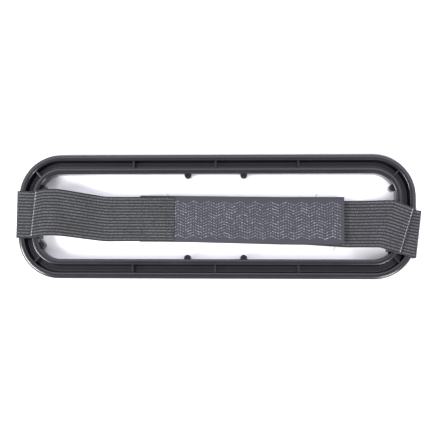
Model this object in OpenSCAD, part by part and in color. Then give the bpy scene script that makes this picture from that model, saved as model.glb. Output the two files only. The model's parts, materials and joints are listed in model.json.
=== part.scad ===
// Oblong strap frame with a hook-and-loop elastic strap across its open back.
// The frame lies front face down. Millimetres, X along the frame, Y across it, Z up through its back.
// The origin is on the surface that the frame rests on, under the middle of the frame.

/* [Frame] */
// Length of the frame, end to end
frame_length = 323.6; // [300:0.2:360]
// Width of the frame across both long bars
frame_width = 101.6; // [98:0.2:110]
// Depth of the frame from front face to back rims
frame_depth = 12.7; // [11:0.1:20]
// Outer radius of the frame's corners
corner_radius = 34.5; // [32:0.5:40]
// Width of the bar all round
bar_width = 16.1; // [15:0.1:18]
// Width of the outer rim beside the channel
outer_rim = 5.2; // [4:0.1:5.6]
// Width of the open channel in the back of the bar
channel_width = 6.1; // [5:0.1:7]
// Thickness of the front face under the channel
front_wall = 3; // [2:0.1:5]
// Rounding of the rims beside the channel
rim_round = 1; // [0.5:0.1:1.4]
// Rounding of the outer shoulder and the front edges
shoulder_round = 2.2; // [1:0.1:2.5]

/* [Ribs and posts] */
// Thickness of each rib across the channel
rib_thickness = 1.4; // [1:0.1:3]
// Spacing of the ribs along a long bar
rib_spacing = 67.3; // [50:0.1:80]
// How far the ribs stop short of the rims
rib_drop = 1.6; // [1.5:0.1:4]
// Diameter of the round posts on the window's edge
post_diameter = 5.6; // [4:0.1:8]
// How far a post stands into the window
post_reach = 3.6; // [3:0.1:5]
// Height of a post above the front face, dome included
post_height = 8; // [6:0.1:12]
// Distance of the long bars' posts from the middle of the frame
post_offset = 22.9; // [15:0.1:40]
// Distance of the end posts from the frame's long centre line
end_post_offset = 23.4; // [20:0.1:27]

/* [Strap] */
// Width of the elastic and of both fastener tapes
strap_width = 38.1; // [36:0.1:39]
// Thickness of the elastic
elastic_thickness = 1.2; // [1:0.1:1.2]
// Thickness of a fastener tape, its hooks or pile included
tape_thickness = 1.6; // [1.2:0.1:1.6]
// Height of the strap's lower half above the resting surface
strap_height = 3; // [2:0.1:4]
// Length of the hook tape
hook_tape_length = 167; // [150:1:168]
// Length of the loop tape
loop_tape_length = 141; // [120:1:142]
// Overlap of an elastic and its tape, under the box stitch
splice_length = 27.8; // [24:0.1:28]
// Length of a box stitch along the strap
box_length = 19.4; // [16:0.1:20]

/* [Hidden] */
$fn = 48;

// Levels. The loops pass under the end bars, so the frame's front face stands on the elastic.
layer_gap = 0.2;
soft_gap = 0.3;
thread_height = 0.3;
front_z = elastic_thickness + layer_gap;
rim_z = front_z + frame_depth;
loop_top_z = rim_z + layer_gap + elastic_thickness;
seam_top_z = loop_top_z + elastic_thickness;
fold_z = seam_top_z + thread_height + soft_gap / 2;
band_z = fold_z + soft_gap / 2;
loop_tape_z = strap_height + elastic_thickness;
hook_tape_z = loop_tape_z + tape_thickness + soft_gap;
splice_z = hook_tape_z + tape_thickness;

// Frame.
side_length = frame_length - 2 * corner_radius;
end_length = frame_width - 2 * corner_radius;
window_radius = corner_radius - bar_width;
channel_mid = outer_rim + channel_width / 2;
// A rib runs this far into the walls and the floor round it.
rib_root = 1;
rib_z = rim_z - rib_drop;
// The end posts stand on the curve of the window's corners, this much nearer the middle.
end_post_rise = end_post_offset - end_length / 2;
end_post_shift = sqrt(window_radius ^ 2 - end_post_rise ^ 2) - window_radius;

// Left half of the strap.
left_fold = [-148.6, 1.8];
left_fold_turn = -5.2;
left_loop_plan = [[-163.2, 20.9], [-163.5, -17.7], [-143.4, -17.9], [-143.4, 20.2]];
left_seam_length = 4;
hook_tape_start = -62.3;
left_elastic_end = hook_tape_start + splice_length;
left_shelf = -138;
left_foot = -93;
// The left elastic shifts sideways between these two places, from left_top_y to the tape's middle.
left_shift_start = -134;
left_shift_end = -88;
left_top_y = 3;
strap_y = -2.3;

// Right half of the strap.
right_fold = [153.2, -11.6];
right_fold_turn = -17;
right_loop_plan = [[161.2, -33.7], [165.9, 4.3], [143.2, 7.4], [138.1, -28.4]];
right_seam_length = 9;
loop_tape_end = 101;
loop_tape_start = loop_tape_end - loop_tape_length;
right_elastic_end = loop_tape_end - splice_length;
right_elastic_y = -5.7;
// Pulled narrower under the tape: the low and high edges at its sewn end.
right_end_low = -22.8;
right_end_high = 13.4;
right_foot = 108.5;
right_shelf = 133.5;
// The low edge runs straight to low_crease; from there each edge turns towards the fold.
low_crease = 134;
low_edge_run = 10;
high_edge_run = 14;
loop_tape_y = -3.3;

// Thread.
stitch_pitch = 3;
stitch_length = 2.4;
stitch_width = 0.6;
stitch_inset = 2.2;
// The box on the left splice sits this much nearer the tape's end than the middle of the splice.
box_shift = 0.9;
// Loose thread ends beside the right splice: place along the strap and length.
high_thread_end = [82, 3.4];
low_thread_end = [96.5, 2.6];
thread_gap = 0.05;

// Cloth.
// A seam tab is this much narrower than the strap at each edge.
tab_inset = 0.6;
band_step = 3;
// Outlines that cut a band run this far past it.
past = 20;
cut_height = 40;

// An S from 0 to 1 that is straight in the middle and eased at both ends.
ease_end = 0.2;
ease_slope = 1 / (1 - ease_end);
function ease(t) =
    t <= 0 ? 0 :
    t >= 1 ? 1 :
    t < ease_end ? ease_slope * t * t / (2 * ease_end) :
    t > 1 - ease_end ? 1 - ease(1 - t) :
    ease_slope * (t - ease_end / 2);
function slope(x, x0, x1, z0, z1) = z0 + (z1 - z0) * ease((x - x0) / (x1 - x0));

// Points of an arc about [x, y], from angle a to angle b.
arc_steps = 4;
function arc(x, y, r, a, b) =
    [for (i = [0 : arc_steps]) let (t = a + (b - a) * i / arc_steps) [x + r * cos(t), y + r * sin(t)]];

// Section of the bar: x is the distance inwards from the frame's outer edge, y is the height.
function bar_section() = let (
    s = shoulder_round, q = rim_round, d = frame_depth, w = bar_width,
    c0 = outer_rim, c1 = outer_rim + channel_width)
    concat(
        arc(s, s, s, 180, 270),
        arc(w - q, q, q, 270, 360),
        arc(w - q, d - q, q, 0, 90),
        arc(c1 + q, d - q, q, 90, 180),
        [[c1, front_wall], [c0, front_wall]],
        arc(c0 - q, d - q, q, 0, 90),
        arc(s, d - s, s, 90, 180));

module side_bar(length, reach) {
    translate([-length / 2, reach, front_z]) rotate([90, 0, 90])
        linear_extrude(length) mirror([1, 0]) polygon(bar_section());
}

module corner_bar() {
    translate([0, 0, front_z]) rotate_extrude(angle = 90)
        translate([corner_radius, 0]) mirror([1, 0]) polygon(bar_section());
}

// One rib across the channel, at distance reach from the point it is measured from.
module rib(reach) {
    floor_z = front_z + front_wall - rib_root;
    translate([-rib_thickness / 2, reach - channel_mid - channel_width / 2 - rib_root, floor_z])
        cube([rib_thickness, channel_width + 2 * rib_root, rib_z - floor_z]);
}

// One round-topped post on the window's edge, at distance reach along +Y.
module post(reach) {
    radius = post_diameter / 2;
    translate([0, reach - bar_width - post_reach + radius, front_z]) {
        cylinder(h = post_height - radius, r = radius);
        translate([0, 0, post_height - radius]) sphere(r = radius);
    }
}

module frame() color("#2c2c31") union() {
    for (turn = [0, 180]) rotate([0, 0, turn]) {
        side_bar(side_length, frame_width / 2);
        rotate([0, 0, 90]) side_bar(end_length, frame_length / 2);
        for (i = [-1 : 1]) translate([i * rib_spacing, 0, 0]) rib(frame_width / 2);
        for (x = [-post_offset, post_offset]) translate([x, 0, 0]) post(frame_width / 2);
        for (y = [-end_post_offset, end_post_offset])
            rotate([0, 0, 90]) translate([y, end_post_shift, 0]) post(frame_length / 2);
    }
    for (x = [0, 1], y = [0, 1]) mirror([x, 0, 0]) mirror([0, y, 0])
        translate([side_length / 2, end_length / 2, 0]) {
            corner_bar();
            rotate([0, 0, -45]) rib(corner_radius);
        }
}

// Straight line through two plan points, moved sideways by inset and run on past both points.
function wall_line(a, b, inset, run) = let (
    v = (b - a) / norm(b - a),
    n = [-v[1], v[0]])
    [a + n * inset - v * run, b + n * inset + v * run];

// A flat band of elastic round an end bar. The plan's first two corners are the outer wall,
// the last two the wall inside the window, anticlockwise.
module end_loop(plan) {
    outer = wall_line(plan[0], plan[1], elastic_thickness, 10);
    inner = wall_line(plan[2], plan[3], elastic_thickness, 10);
    difference() {
        linear_extrude(loop_top_z) polygon(plan);
        translate([0, 0, elastic_thickness])
            linear_extrude(loop_top_z - 2 * elastic_thickness) polygon(concat(outer, inner));
    }
}

// The sewn end of a loop, which lies on its top beside the fold. side is 1 where it runs to +X.
module seam_tab(fold, turn, side, length) {
    translate([fold[0], fold[1], loop_top_z]) rotate([0, 0, turn])
        translate([side > 0 ? soft_gap : -length, -strap_width / 2 + tab_inset, 0])
            cube([length - soft_gap, strap_width - 2 * tab_inset, elastic_thickness]);
}

module left_end_loop() color("#4b4c4f") {
    end_loop(left_loop_plan);
    seam_tab(left_fold, left_fold_turn, 1, left_seam_length);
}

module right_end_loop() color("#4b4b51") {
    end_loop(right_loop_plan);
    seam_tab(right_fold, right_fold_turn, -1, right_seam_length);
}

// A run of stitches along +X, centred on the origin.
module stitch_run(length) {
    count = floor(length / stitch_pitch);
    for (i = [0 : count - 1])
        translate([(i - (count - 1) / 2) * stitch_pitch - stitch_length / 2, -stitch_width / 2, 0])
            cube([stitch_length, stitch_width, thread_height]);
}

// Two rows of stitches across the seam tab.
module loop_seam(fold, turn, side, length) {
    translate([fold[0], fold[1], seam_top_z]) rotate([0, 0, turn])
        for (reach = [0.3, 0.7] * length)
            translate([side * reach, 0, 0]) rotate([0, 0, 90]) stitch_run(strap_width - 2 * stitch_inset);
}

module left_loop_seam() color("#232327") loop_seam(left_fold, left_fold_turn, 1, left_seam_length);
module right_loop_seam() color("#232327") loop_seam(right_fold, right_fold_turn, -1, right_seam_length);

// A box of stitches with one diagonal, centred on the origin.
module box_stitch() {
    height = strap_width - 2 * stitch_inset;
    for (y = [-height / 2, height / 2]) translate([0, y, 0]) stitch_run(box_length);
    for (x = [-box_length / 2, box_length / 2])
        translate([x, 0, 0]) rotate([0, 0, 90]) stitch_run(height - stitch_pitch);
    rotate([0, 0, atan2(height, box_length)]) stitch_run(norm([height, box_length]) - 2 * stitch_pitch);
}

// Left elastic: from its fold over the end bar, down into the window and onto the hook tape.
function left_level(x) = slope(x, left_shelf, left_foot, band_z, splice_z);
function left_mid_y(x) = slope(x, left_shift_start, left_shift_end, left_top_y, strap_y);

module left_elastic() color("#4b4c4f") {
    half = strap_width / 2;
    lean = tan(-left_fold_turn) * half;
    xs = concat([for (x = [left_shelf : band_step : left_elastic_end - 1]) x], [left_elastic_end]);
    back = [for (i = [len(xs) - 1 : -1 : 0]) xs[i]];
    start = left_fold[0] - past;
    intersection() {
        rotate([90, 0, 0]) linear_extrude(2 * strap_width, center = true) polygon(concat(
            [[start, band_z]], [for (x = xs) [x, left_level(x)]],
            [for (x = back) [x, left_level(x) + elastic_thickness]], [[start, band_z + elastic_thickness]]));
        linear_extrude(cut_height) polygon(concat(
            [left_fold - [lean, half]], [for (x = xs) [x, left_mid_y(x) - half]],
            [for (x = back) [x, left_mid_y(x) + half]], [left_fold + [lean, half]]));
    }
}

module hook_tape() color("#52525c")
    translate([hook_tape_start, strap_y - strap_width / 2, hook_tape_z])
        cube([hook_tape_length, strap_width, tape_thickness]);

module hook_tape_stitching() color("#232327")
    translate([hook_tape_start + splice_length / 2 - box_shift, strap_y, splice_z + elastic_thickness])
        box_stitch();

// Right elastic: from under the loop tape up over the end bar to a slanted fold.
module right_elastic() color("#4b4b51") {
    along = [cos(right_fold_turn), sin(right_fold_turn)];
    side = [-along[1], along[0]] * strap_width / 2;
    t = elastic_thickness;
    start = right_elastic_end - past;
    fold_reach = right_fold * along;
    vs = [for (v = [right_foot : band_step : right_shelf]) v];
    back = [for (i = [len(vs) - 1 : -1 : 0]) vs[i]];
    level = function (v) slope(v, right_foot, right_shelf, strap_height, band_z);
    intersection() {
        rotate([0, 0, right_fold_turn]) rotate([90, 0, 0]) linear_extrude(4 * strap_width, center = true)
            polygon(concat(
                [[start, strap_height]], [for (v = vs) [v, level(v)]],
                [[right_shelf, band_z], [fold_reach, band_z]],
                [[fold_reach, band_z + t], [right_shelf, band_z + t]],
                [for (v = back) [v, level(v) + t]], [[start, strap_height + t]]));
        linear_extrude(cut_height) polygon([
            [right_elastic_end, right_end_low], [right_foot, right_elastic_y - strap_width / 2],
            [low_crease, right_elastic_y - strap_width / 2], right_fold - side - along * low_edge_run,
            right_fold - side, right_fold + side, right_fold + side - along * high_edge_run,
            [right_elastic_end, right_end_high]]);
    }
}

module loop_tape() color("#3f3f46")
    translate([loop_tape_start, loop_tape_y - strap_width / 2, loop_tape_z])
        cube([loop_tape_length, strap_width, tape_thickness]);

// The stitches show on the underside of the right elastic, and two thread ends stick out beside it.
module loop_tape_stitching() color("#232327") {
    mid = right_elastic_end + splice_length / 2;
    low_share = (low_thread_end[0] - right_elastic_end) / (right_foot - right_elastic_end);
    low_y = right_end_low + (right_elastic_y - strap_width / 2 - right_end_low) * low_share;
    translate([mid, loop_tape_y, strap_height - thread_height]) box_stitch();
    translate([high_thread_end[0], loop_tape_y + strap_width / 2 + thread_gap, loop_tape_z])
        cube([stitch_width, high_thread_end[1], stitch_width]);
    translate([low_thread_end[0], low_y - low_thread_end[1] - 2 * thread_gap, strap_height])
        cube([stitch_width, low_thread_end[1], stitch_width]);
}

frame();
left_end_loop();
left_loop_seam();
left_elastic();
hook_tape();
hook_tape_stitching();
right_end_loop();
right_loop_seam();
right_elastic();
loop_tape();
loop_tape_stitching();
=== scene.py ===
import json
import math
import random

import bmesh
import bpy
from mathutils import Matrix, Vector


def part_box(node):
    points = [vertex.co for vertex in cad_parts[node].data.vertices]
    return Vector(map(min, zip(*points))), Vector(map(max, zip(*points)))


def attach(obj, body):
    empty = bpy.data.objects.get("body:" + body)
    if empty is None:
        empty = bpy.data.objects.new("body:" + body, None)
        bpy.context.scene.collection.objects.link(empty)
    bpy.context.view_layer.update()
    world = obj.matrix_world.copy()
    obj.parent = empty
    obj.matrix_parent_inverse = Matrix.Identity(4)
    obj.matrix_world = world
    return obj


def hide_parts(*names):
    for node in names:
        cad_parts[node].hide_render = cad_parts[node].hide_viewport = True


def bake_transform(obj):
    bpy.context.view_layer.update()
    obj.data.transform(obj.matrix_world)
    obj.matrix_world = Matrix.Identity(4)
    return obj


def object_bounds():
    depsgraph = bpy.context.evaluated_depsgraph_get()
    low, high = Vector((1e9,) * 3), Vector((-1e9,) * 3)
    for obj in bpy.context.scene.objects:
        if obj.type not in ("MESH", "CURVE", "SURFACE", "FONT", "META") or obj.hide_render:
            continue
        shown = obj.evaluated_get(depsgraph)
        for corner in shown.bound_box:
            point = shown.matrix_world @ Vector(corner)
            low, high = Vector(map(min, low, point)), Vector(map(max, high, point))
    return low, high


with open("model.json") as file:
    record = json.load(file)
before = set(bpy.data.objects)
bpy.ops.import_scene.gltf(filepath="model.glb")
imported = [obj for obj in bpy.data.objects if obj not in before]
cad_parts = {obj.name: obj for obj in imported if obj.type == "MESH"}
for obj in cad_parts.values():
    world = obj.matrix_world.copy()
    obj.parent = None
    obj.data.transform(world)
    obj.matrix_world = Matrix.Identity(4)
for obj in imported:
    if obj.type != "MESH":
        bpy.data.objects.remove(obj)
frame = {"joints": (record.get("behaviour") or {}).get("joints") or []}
cad_low, cad_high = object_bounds()

# Camera. It looks almost straight down on the back of the frame, from a little to the right
# of the middle, through a normal lens, so that the far walls of the window just show.
MM = 0.001
EYE = Vector((29.56, -45.99, 690.71)) * MM
LOOKED_AT = Vector((-0.95, 2.01, 0)) * MM
UP = Vector((-0.0029, 1, 0))
FOCAL_LENGTH = 70.06
SENSOR_WIDTH = 36


def link(name, data):
    """A new object in the scene, at the origin."""
    made = bpy.data.objects.new(name, data)
    bpy.context.scene.collection.objects.link(made)
    return made


def aimed(place, target, up):
    """The matrix of something at place that looks at target with its top towards up."""
    back = (place - target).normalized()
    right = up.cross(back).normalized()
    return Matrix.Translation(place) @ Matrix((right, back.cross(right), back)).transposed().to_4x4()


camera_data = bpy.data.cameras.new("camera")
camera_data.lens = FOCAL_LENGTH
camera_data.sensor_width = SENSOR_WIDTH
camera_data.clip_start = 0.01
camera = link("camera", camera_data)
camera.matrix_world = aimed(EYE, LOOKED_AT, UP)
bpy.context.scene.camera = camera
bpy.context.scene.view_settings.view_transform = "Standard"


# Studio. A white sweep in a light tent, which glows more at the top side of the frame than at
# the bottom side. Two soft boxes stand at the left end and beyond the bottom right corner.
TENT_GLOW = 0.72
BOTTOM_SIDE_GLOW = 0.4
TOP_SIDE_GLOW = 2.1
SOFT_BOX_DISTANCE = 1.3


def linear(hex_colour):
    """The linear colour of an sRGB hex value."""
    parts = [int(hex_colour[i:i + 2], 16) / 255 for i in (1, 3, 5)]
    return [p / 12.92 if p <= 0.04045 else ((p + 0.055) / 1.055) ** 2.4 for p in parts] + [1]


def add(tree, kind, settings=None, links=None):
    """Adds a node. An input takes a value, or the output socket of another node."""
    made = tree.nodes.new(kind)
    for name, value in (settings or {}).items():
        setattr(made, name, value)
    for key, value in (links or {}).items():
        if isinstance(value, bpy.types.NodeSocket):
            tree.links.new(value, made.inputs[key])
        else:
            made.inputs[key].default_value = value
    return made


world = bpy.data.worlds.new("light tent")
bpy.context.scene.world = world
world.use_nodes = True
tent = world.node_tree
tent.nodes.clear()
direction = add(tent, "ShaderNodeTexCoord")
sides = add(tent, "ShaderNodeSeparateXYZ", None, {0: direction.outputs["Generated"]})
top_side = add(tent, "ShaderNodeMapRange", {"interpolation_type": "SMOOTHSTEP"}, {
    "Value": sides.outputs["Y"], "From Min": -0.35, "From Max": 0.45,
    "To Min": BOTTOM_SIDE_GLOW, "To Max": TOP_SIDE_GLOW})
roof = add(tent, "ShaderNodeMapRange", {"interpolation_type": "SMOOTHSTEP"}, {
    "Value": sides.outputs["Z"], "From Min": 0.9, "From Max": 0.985, "To Min": 1, "To Max": 0})
low = add(tent, "ShaderNodeMapRange", {"interpolation_type": "SMOOTHSTEP"}, {
    "Value": sides.outputs["Z"], "From Min": 0.2, "From Max": 0.75, "To Min": 0.45, "To Max": 1})
ring = add(tent, "ShaderNodeMath", {"operation": "MULTIPLY"}, {0: top_side.outputs[0], 1: low.outputs[0]})
opened = add(tent, "ShaderNodeMath", {"operation": "MULTIPLY"}, {0: ring.outputs[0], 1: roof.outputs[0]})
glow = add(tent, "ShaderNodeMath", {"operation": "ADD"}, {
    0: opened.outputs[0], 1: TENT_GLOW})
backdrop = add(tent, "ShaderNodeBackground", None, {
    "Color": linear("#f4f4ff"), "Strength": glow.outputs[0]})
add(tent, "ShaderNodeOutputWorld", None, {"Surface": backdrop.outputs[0]})


def soft_box(name, azimuth, tilt, size, watts):
    """A rectangular soft box that faces the frame, tilt degrees from overhead."""
    data = bpy.data.lights.new(name, "AREA")
    data.shape = "RECTANGLE"
    data.size, data.size_y = size
    data.energy = watts
    across, up = math.radians(azimuth), math.radians(tilt)
    way = Vector((math.sin(up) * math.cos(across), math.sin(up) * math.sin(across), math.cos(up)))
    made = link(name, data)
    made.matrix_world = aimed(way * SOFT_BOX_DISTANCE, Vector((0, 0, 0)), Vector((0, 0, 1)))


soft_box("left_box", 205, 50, (0.6, 0.4), 24)
soft_box("right_box", -52, 50, (0.35, 0.45), 14)


def material(name, settings):
    """A material with one Principled shader, whose constant values are set on its own sockets."""
    made = bpy.data.materials.new(name)
    made.use_nodes = True
    tree = made.node_tree
    tree.nodes.clear()
    shader = add(tree, "ShaderNodeBsdfPrincipled", None, settings)
    add(tree, "ShaderNodeOutputMaterial", None, {"Surface": shader.outputs[0]})
    return made, tree, shader


def build(name, points, faces, finish, closed=True, across=None):
    """A smooth mesh whose points are in millimetres. across gives each point's place on its cloth."""
    mesh = bpy.data.meshes.new(name)
    mesh.from_pydata([Vector(p) * MM for p in points], [], faces)
    mesh.polygons.foreach_set("use_smooth", [True] * len(mesh.polygons))
    if across:
        cloth = mesh.uv_layers.new(name="cloth")
        for loop in mesh.loops:
            cloth.data[loop.index].uv = across[loop.vertex_index]
    if closed:
        edit = bmesh.new()
        edit.from_mesh(mesh)
        bmesh.ops.recalc_face_normals(edit, faces=edit.faces)
        edit.to_mesh(mesh)
        edit.free()
    mesh.set_sharp_from_angle(angle=math.radians(40))
    mesh.materials.append(finish)
    return link(name, mesh)


# Matt coated paper, which shows as plain white without a reflection.
paper = material("matt_white_paper", {"Base Color": linear("#ececec"), "Roughness": 0.9})[0]
FLOOR_HALF = 2500
floor_points = [(x * FLOOR_HALF, y * FLOOR_HALF, cad_low.z / MM)
                for x, y in ((-1, -1), (1, -1), (1, 1), (-1, 1))]
floor = build("floor", floor_points, [(0, 1, 2, 3)], paper, closed=False)

# Frame moulding. One injection moulding in black ABS: a bar of U section, open at the back,
# runs round the window, and its two rims are rounded where the tool's halves meet.
CORNER_RADIUS = 34.5
CORNER_STEPS = 28
BAR_WIDTH = 16.1
OUTER_RIM = 5.2
CHANNEL = 6.1
FRONT_WALL = 3
RIM_ROUND = 1
WINDOW_ROUND = 1.4
SHOULDER_ROUND = 2.2
FLOOR_ROUND = 0.6
DRAFT = 0.25
CROWN = 0.12
frame_low, frame_high = (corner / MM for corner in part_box("frame"))
front_z, rim_z = frame_low.z, frame_high.z


def arc(x, y, radius, start, end, steps=5):
    """Points of an arc about (x, y), between two angles in degrees."""
    angles = [math.radians(start + (end - start) * i / steps) for i in range(steps + 1)]
    return [(x + radius * math.cos(a), y + radius * math.sin(a)) for a in angles]


def crowned(start, end, height):
    """The top of a rim, which rises a little towards its middle."""
    shares = [i / 6 for i in range(1, 6)]
    return [(start + (end - start) * s, height + CROWN * 4 * s * (1 - s)) for s in shares]


channel_start = OUTER_RIM
channel_end = OUTER_RIM + CHANNEL
rim_edge = rim_z - CROWN
channel_floor = front_z + FRONT_WALL
section = (
    arc(SHOULDER_ROUND, front_z + SHOULDER_ROUND, SHOULDER_ROUND, 180, 270)
    + arc(BAR_WIDTH - RIM_ROUND, front_z + RIM_ROUND, RIM_ROUND, 270, 360)
    + arc(BAR_WIDTH - WINDOW_ROUND, rim_edge - WINDOW_ROUND, WINDOW_ROUND, 0, 90)
    + crowned(BAR_WIDTH - WINDOW_ROUND, channel_end + RIM_ROUND, rim_edge)
    + arc(channel_end + RIM_ROUND, rim_edge - RIM_ROUND, RIM_ROUND, 90, 180)
    + arc(channel_end - DRAFT - FLOOR_ROUND, channel_floor + FLOOR_ROUND, FLOOR_ROUND, 0, -90, 3)
    + arc(channel_start + DRAFT + FLOOR_ROUND, channel_floor + FLOOR_ROUND, FLOOR_ROUND, -90, -180, 3)
    + arc(channel_start - RIM_ROUND, rim_edge - RIM_ROUND, RIM_ROUND, 0, 90)
    + crowned(channel_start - RIM_ROUND, SHOULDER_ROUND, rim_edge)
    + arc(SHOULDER_ROUND, rim_edge - SHOULDER_ROUND, SHOULDER_ROUND, 90, 180))
corner_x, corner_y = frame_high.x - CORNER_RADIUS, frame_high.y - CORNER_RADIUS
outline = [(sx * corner_x, sy * corner_y, math.radians(first + 90 * i / CORNER_STEPS))
           for sx, sy, first in ((1, 1, 0), (-1, 1, 90), (-1, -1, 180), (1, -1, 270))
           for i in range(CORNER_STEPS + 1)]
moulding_points = [(x + (CORNER_RADIUS - u) * math.cos(turn), y + (CORNER_RADIUS - u) * math.sin(turn), z)
                   for x, y, turn in outline for u, z in section]


def tube_faces(rings, around, joined=False):
    """Quads between rings of points, each ring of the same number of points."""
    return [(r * around + i, r * around + (i + 1) % around,
             (r + 1) % rings * around + (i + 1) % around, (r + 1) % rings * around + i)
            for r in range(rings if joined else rings - 1) for i in range(around)]


# Injection-moulded ABS with a low gloss: the rounds catch thin light lines, and the fine tool
# texture and the wear of handling break them up a little.
black_abs, abs_tree, abs_shader = material("moulded_black_abs", {"IOR": 1.52, "Roughness": 0.3})
where = add(abs_tree, "ShaderNodeTexCoord").outputs["Object"]
PEEL_MM = 1.6
GRIT_MM = 0.25
peel = add(abs_tree, "ShaderNodeTexNoise", None, {"Vector": where, "Scale": 1 / (PEEL_MM * MM), "Detail": 2})
grit = add(abs_tree, "ShaderNodeTexNoise", None, {"Vector": where, "Scale": 1 / (GRIT_MM * MM), "Detail": 2})
handling = add(abs_tree, "ShaderNodeTexNoise", None, {
    "Vector": where, "Scale": 45, "Detail": 5, "Roughness": 0.65})
relief = add(abs_tree, "ShaderNodeMath", {"operation": "MULTIPLY_ADD"}, {
    0: grit.outputs["Fac"], 1: 0.25, 2: peel.outputs["Fac"]})
bump = add(abs_tree, "ShaderNodeBump", None, {
    "Height": relief.outputs[0], "Strength": 0.25, "Distance": 0.00006})
shine = add(abs_tree, "ShaderNodeMapRange", None, {
    "Value": handling.outputs["Fac"], "From Min": 0.3, "From Max": 0.7, "To Min": 0.14, "To Max": 0.26})
tint = add(abs_tree, "ShaderNodeMix", {"data_type": "RGBA"}, {
    0: handling.outputs["Fac"], 6: linear("#0b0b0e"), 7: linear("#121217")})
abs_tree.links.new(tint.outputs[2], abs_shader.inputs["Base Color"])
abs_tree.links.new(shine.outputs["Result"], abs_shader.inputs["Roughness"])
abs_tree.links.new(bump.outputs["Normal"], abs_shader.inputs["Normal"])

moulding_faces = tube_faces(len(outline), len(section), joined=True)
moulding = build("frame_moulding", moulding_points, moulding_faces, black_abs)
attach(moulding, "frame")
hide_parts("frame")

# Ribs in the channel. Ten thin walls, moulded with the bar, keep its two rims apart: three
# in each long bar and one across each corner. Their tops are rounded and stop below the rims.
RIB_THICKNESS = 1.4
RIB_SPACING = 67.3
RIB_DROP = 1.6
RIB_ROOT = 0.5
RIB_TOP_ROUND = 0.35
channel_mid = (channel_start + channel_end) / 2
rib_height = rim_z - RIB_DROP - channel_floor


def new_tree(name, sizes):
    """A Geometry Nodes tree that has these named inputs, each with its socket type."""
    made = bpy.data.node_groups.new(name, "GeometryNodeTree")
    made.interface.new_socket("Geometry", in_out="INPUT", socket_type="NodeSocketGeometry")
    for label, kind in sizes.items():
        made.interface.new_socket(label, in_out="INPUT", socket_type="NodeSocket" + kind)
    made.interface.new_socket("Geometry", in_out="OUTPUT", socket_type="NodeSocketGeometry")
    return made, add(made, "NodeGroupInput").outputs


def close_tree(tree, instances, finish):
    """Ends a tree: the instances become real and take the finish."""
    real = add(tree, "GeometryNodeRealizeInstances", None, {0: instances})
    smooth = add(tree, "GeometryNodeSetShadeSmooth", None, {0: real.outputs[0]})
    painted = add(tree, "GeometryNodeSetMaterial", None, {"Geometry": smooth.outputs[0], "Material": finish})
    add(tree, "NodeGroupOutput", None, {0: painted.outputs[0]})


def guide_mesh(name, points, edges=(), turns=None):
    """Points in millimetres for a tree to work on, with a turn about Z for each where given."""
    mesh = bpy.data.meshes.new(name)
    mesh.from_pydata([Vector(p) * MM for p in points], edges, [])
    if turns:
        mesh.attributes.new("turn", "FLOAT", "POINT").data.foreach_set("value", turns)
    return mesh


def grow(name, tree, guide, values):
    """Runs a tree on a guide mesh and keeps what it makes as a plain mesh."""
    made = link(name, guide)
    modifier = made.modifiers.new("tree", "NODES")
    modifier.node_group = tree
    for item in tree.interface.items_tree:
        if item.in_out == "INPUT" and item.name in values:
            modifier[item.identifier] = values[item.name]
    evaluated = made.evaluated_get(bpy.context.evaluated_depsgraph_get())
    mesh = bpy.data.meshes.new_from_object(evaluated)
    made.modifiers.remove(modifier)
    made.data = mesh
    return made


rib_tree, given = new_tree("channel_ribs", {
    "Span": "Float", "Thickness": "Float", "Height": "Float", "Top Round": "Float", "Finish": "Material"})
half_span = add(rib_tree, "ShaderNodeMath", {"operation": "MULTIPLY"}, {0: given["Span"], 1: 0.5})
less_span = add(rib_tree, "ShaderNodeMath", {"operation": "MULTIPLY"}, {0: given["Span"], 1: -0.5})
near_end = add(rib_tree, "ShaderNodeCombineXYZ", None, {"Y": less_span.outputs[0]})
far_end = add(rib_tree, "ShaderNodeCombineXYZ", None, {"Y": half_span.outputs[0]})
spine = add(rib_tree, "GeometryNodeCurvePrimitiveLine", None, {
    "Start": near_end.outputs[0], "End": far_end.outputs[0]})
rib_outline = add(rib_tree, "GeometryNodeCurvePrimitiveQuadrilateral", None, {
    "Width": given["Thickness"], "Height": given["Height"]})
rounded = add(rib_tree, "GeometryNodeFilletCurve", {"mode": "POLY"}, {
    "Curve": rib_outline.outputs[0], "Radius": given["Top Round"], "Count": 4})
rib_body = add(rib_tree, "GeometryNodeCurveToMesh", None, {
    "Curve": spine.outputs[0], "Profile Curve": rounded.outputs[0], "Fill Caps": True})
rib_turn = add(rib_tree, "GeometryNodeInputNamedAttribute", {"data_type": "FLOAT"}, {"Name": "turn"})
rib_euler = add(rib_tree, "ShaderNodeCombineXYZ", None, {"Z": rib_turn.outputs["Attribute"]})
rib_copies = add(rib_tree, "GeometryNodeInstanceOnPoints", None, {
    "Points": given["Geometry"], "Instance": rib_body.outputs[0], "Rotation": rib_euler.outputs[0]})
close_tree(rib_tree, rib_copies.outputs[0], given["Finish"])

rib_points, rib_turns = [], []
for side in (-1, 1):
    for step in (-1, 0, 1):
        rib_points.append((step * RIB_SPACING, side * (frame_high.y - channel_mid),
                           channel_floor + rib_height / 2))
        rib_turns.append(0)
    for end in (-1, 1):
        reach = (CORNER_RADIUS - channel_mid) * math.sqrt(0.5)
        rib_points.append((end * (corner_x + reach), side * (corner_y + reach),
                           channel_floor + rib_height / 2))
        rib_turns.append(-end * side * math.radians(45))
ribs = grow("channel_ribs", rib_tree, guide_mesh("channel_ribs", rib_points, turns=rib_turns), {
    "Span": (CHANNEL + 2 * RIB_ROOT) * MM, "Thickness": RIB_THICKNESS * MM, "Height": rib_height * MM,
    "Top Round": RIB_TOP_ROUND * MM, "Finish": black_abs})
ribs.data.set_sharp_from_angle(angle=math.radians(40))
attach(ribs, "frame")

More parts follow.
